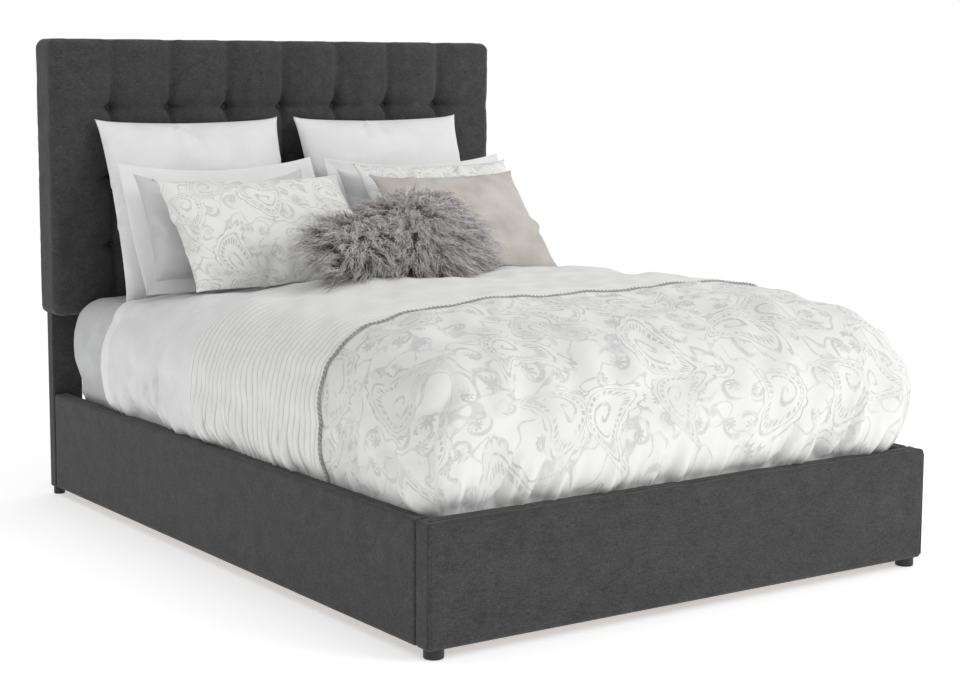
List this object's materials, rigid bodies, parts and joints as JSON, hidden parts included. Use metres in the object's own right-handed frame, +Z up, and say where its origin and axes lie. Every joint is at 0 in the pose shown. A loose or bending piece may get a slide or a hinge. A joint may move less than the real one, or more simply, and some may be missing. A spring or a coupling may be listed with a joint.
{
  "type": "upholstered bed",
  "caption": "Queen-size upholstered bed with a box-tufted headboard, padded rails, slatted base, box spring, mattress, comforter and layered pillows.",
  "frame": {"origin": "On the floor, under the middle of the bed's outline.", "axes": "+X is the right side seen from the foot of the bed, +Y points to the headboard, +Z is up."},
  "size_m": [1.672, 2.215, 1.456],
  "materials": {
    "charcoal_weave": "flecked woven upholstery cloth",
    "backing_cloth": "black non-woven backing cloth",
    "foam": "open-cell foam, cream",
    "wadding": "white polyester wadding",
    "plywood": "plain plywood",
    "pine": "planed softwood",
    "feet_plastic": "moulded, black",
    "zinc_steel": "zinc-plated",
    "black_steel": "black powder coat",
    "webbing": "woven webbing",
    "ticking": "quilted ticking",
    "sheet_cotton": "plain cotton sheeting, pale grey",
    "comforter_cotton": "white cotton with a pale grey scrolling print and narrow pleats",
    "white_cotton": "plain white cotton",
    "sham_cotton": "white cotton with a grey trim",
    "patterned_cotton": "white cotton with a pale grey scrolling print",
    "taupe_satin": "smooth taupe cloth",
    "long_fur": "long curly pile, mauve grey"
  },
  "bodies": {
    "frame": {"headboard_foam": "foam", "headboard_wadding": "wadding", "headboard_cover": "charcoal_weave", "headboard_buttons": "charcoal_weave", "headboard_panel": "plywood", "headboard_cross_rails": "pine", "headboard_back_cover": "backing_cloth", "headboard_lower_rail": "pine", "headboard_post_left": "pine", "headboard_post_right": "pine", "post_sleeve_left": "charcoal_weave", "post_sleeve_right": "charcoal_weave", "post_foot_left": "feet_plastic", "post_foot_right": "feet_plastic", "side_rail_board_left": "pine", "side_rail_board_right": "pine", "side_rail_foam_left": "foam", "side_rail_foam_right": "foam", "side_rail_cover_left": "charcoal_weave", "side_rail_cover_right": "charcoal_weave", "slat_cleat_left": "pine", "slat_cleat_right": "pine", "front_foot_left": "feet_plastic", "front_foot_right": "feet_plastic", "corner_bracket_foot_left": "black_steel", "corner_bracket_foot_right": "black_steel", "corner_bracket_head_left": "black_steel", "corner_bracket_head_right": "black_steel", "foot_rail_board": "pine", "foot_rail_foam": "foam", "foot_rail_cover": "charcoal_weave", "slats": "pine", "slat_straps": "webbing", "centre_beam": "pine", "beam_hanger_foot": "black_steel", "beam_hanger_head": "black_steel", "beam_tee_nuts": "zinc_steel", "bracket_bolts": "zinc_steel", "wood_screws": "zinc_steel"},
    "box_spring": {"box_spring_cover": "ticking", "box_spring_frame": "pine", "box_spring_pad": "wadding"},
    "mattress": {"mattress": "ticking", "fitted_sheet": "sheet_cotton", "comforter": "comforter_cotton"},
    "back_pillows": {"euro_pillow_left": "white_cotton", "euro_pillow_right": "white_cotton"},
    "plain_shams": {"sham_pillow_left": "sham_cotton", "sham_pillow_right": "sham_cotton"},
    "patterned_shams": {"patterned_pillow_left": "patterned_cotton", "patterned_pillow_right": "patterned_cotton"},
    "accent_pillow": {"accent_pillow": "taupe_satin"},
    "fur_pillow": {"fur_pillow": "long_fur"},
    "leveller_1": {"levelling_pad_1": "feet_plastic", "levelling_stud_1": "zinc_steel"},
    "leveller_2": {"levelling_pad_2": "feet_plastic", "levelling_stud_2": "zinc_steel"},
    "leveller_3": {"levelling_pad_3": "feet_plastic", "levelling_stud_3": "zinc_steel"}
  },
  "joints": [
    {"name": "box_spring_lift", "type": "slide", "parent": "frame", "child": "box_spring", "axis": [0, 0, 1], "range_m": [0, 0.3]},
    {"name": "mattress_lift", "type": "slide", "parent": "box_spring", "child": "mattress", "axis": [0, 0, 1], "range_m": [0, 0.35]},
    {"name": "back_pillows_lift", "type": "slide", "parent": "mattress", "child": "back_pillows", "axis": [0, 0, 1], "range_m": [0, 0.3]},
    {"name": "plain_shams_lift", "type": "slide", "parent": "back_pillows", "child": "plain_shams", "axis": [0, 0, 1], "range_m": [0, 0.3]},
    {"name": "patterned_shams_lift", "type": "slide", "parent": "plain_shams", "child": "patterned_shams", "axis": [0, 0, 1], "range_m": [0, 0.3]},
    {"name": "accent_pillow_lift", "type": "slide", "parent": "patterned_shams", "child": "accent_pillow", "axis": [0, 0, 1], "range_m": [0, 0.3]},
    {"name": "fur_pillow_lift", "type": "slide", "parent": "accent_pillow", "child": "fur_pillow", "axis": [0, 0, 1], "range_m": [0, 0.3]},
    {"name": "leveller_1_height", "type": "slide", "parent": "frame", "child": "leveller_1", "axis": [0, 0, 1], "range_m": [0, 0.012]},
    {"name": "leveller_2_height", "type": "slide", "parent": "frame", "child": "leveller_2", "axis": [0, 0, 1], "range_m": [0, 0.012]},
    {"name": "leveller_3_height", "type": "slide", "parent": "frame", "child": "leveller_3", "axis": [0, 0, 1], "range_m": [0, 0.012]}
  ]
}
